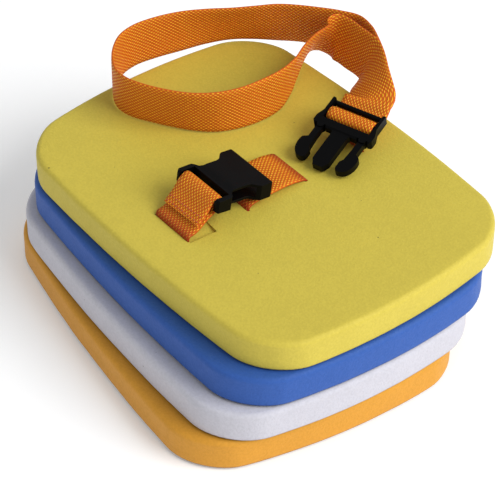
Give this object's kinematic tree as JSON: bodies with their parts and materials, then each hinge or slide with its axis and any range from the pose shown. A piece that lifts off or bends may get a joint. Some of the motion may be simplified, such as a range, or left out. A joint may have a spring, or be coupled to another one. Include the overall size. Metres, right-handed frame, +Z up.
{
  "type": "foam back float",
  "caption": "Stack of rounded foam boards threaded on a webbing waist belt with a side-release buckle.",
  "frame": {"origin": "middle of the bottom board's underside, on the surface the float rests on", "axes": "+Z up through the stack, +X along the length of the top board, +Y along the row of slits from the socket towards the plug"},
  "size_m": [0.2592, 0.2424, 0.1132],
  "materials": {
    "foam_orange": "matt closed-cell foam",
    "foam_white": "matt closed-cell foam",
    "foam_blue": "matt closed-cell foam",
    "foam_yellow": "matt closed-cell foam",
    "webbing": "plain-weave polypropylene webbing",
    "thread": "polyester sewing thread",
    "buckle_black": "moulded acetal, semi-gloss"
  },
  "bodies": {
    "stack": {"foam_board_orange": "foam_orange", "foam_board_white": "foam_white", "foam_board_blue": "foam_blue", "foam_board_yellow": "foam_yellow", "belt_threaded_run": "webbing", "belt_socket_end": "webbing", "belt_stitching": "thread", "belt_loop": "webbing"},
    "socket": {"buckle_socket": "buckle_black"},
    "plug": {"buckle_plug": "buckle_black", "belt_plug_end": "webbing"},
    "prong_l": {"prong_left": "buckle_black"},
    "prong_r": {"prong_right": "buckle_black"}
  },
  "joints": [
    {"name": "socket_tilt", "type": "hinge", "parent": "stack", "child": "socket", "pos_m": [0.0015, -0.022, 0.0975], "axis": [1, 0, 0], "range_deg": [0, 50]},
    {"name": "plug_tilt", "type": "hinge", "parent": "stack", "child": "plug", "pos_m": [0.00076, 0.09581, 0.09501], "axis": [-0.9511, -0.309, 0], "range_deg": [0, 35]},
    {"name": "prong_left_flex", "type": "hinge", "parent": "plug", "child": "prong_l", "pos_m": [-0.00568, 0.07032, 0.09245], "axis": [0.0748, -0.2301, 0.9703], "range_deg": [0, 8], "stiffness_Nm_per_rad": 0.3},
    {"name": "prong_right_flex", "type": "hinge", "parent": "plug", "child": "prong_r", "pos_m": [0.02095, 0.07898, 0.09245], "axis": [-0.0748, 0.2301, -0.9703], "range_deg": [0, 8], "stiffness_Nm_per_rad": 0.3}
  ]
}
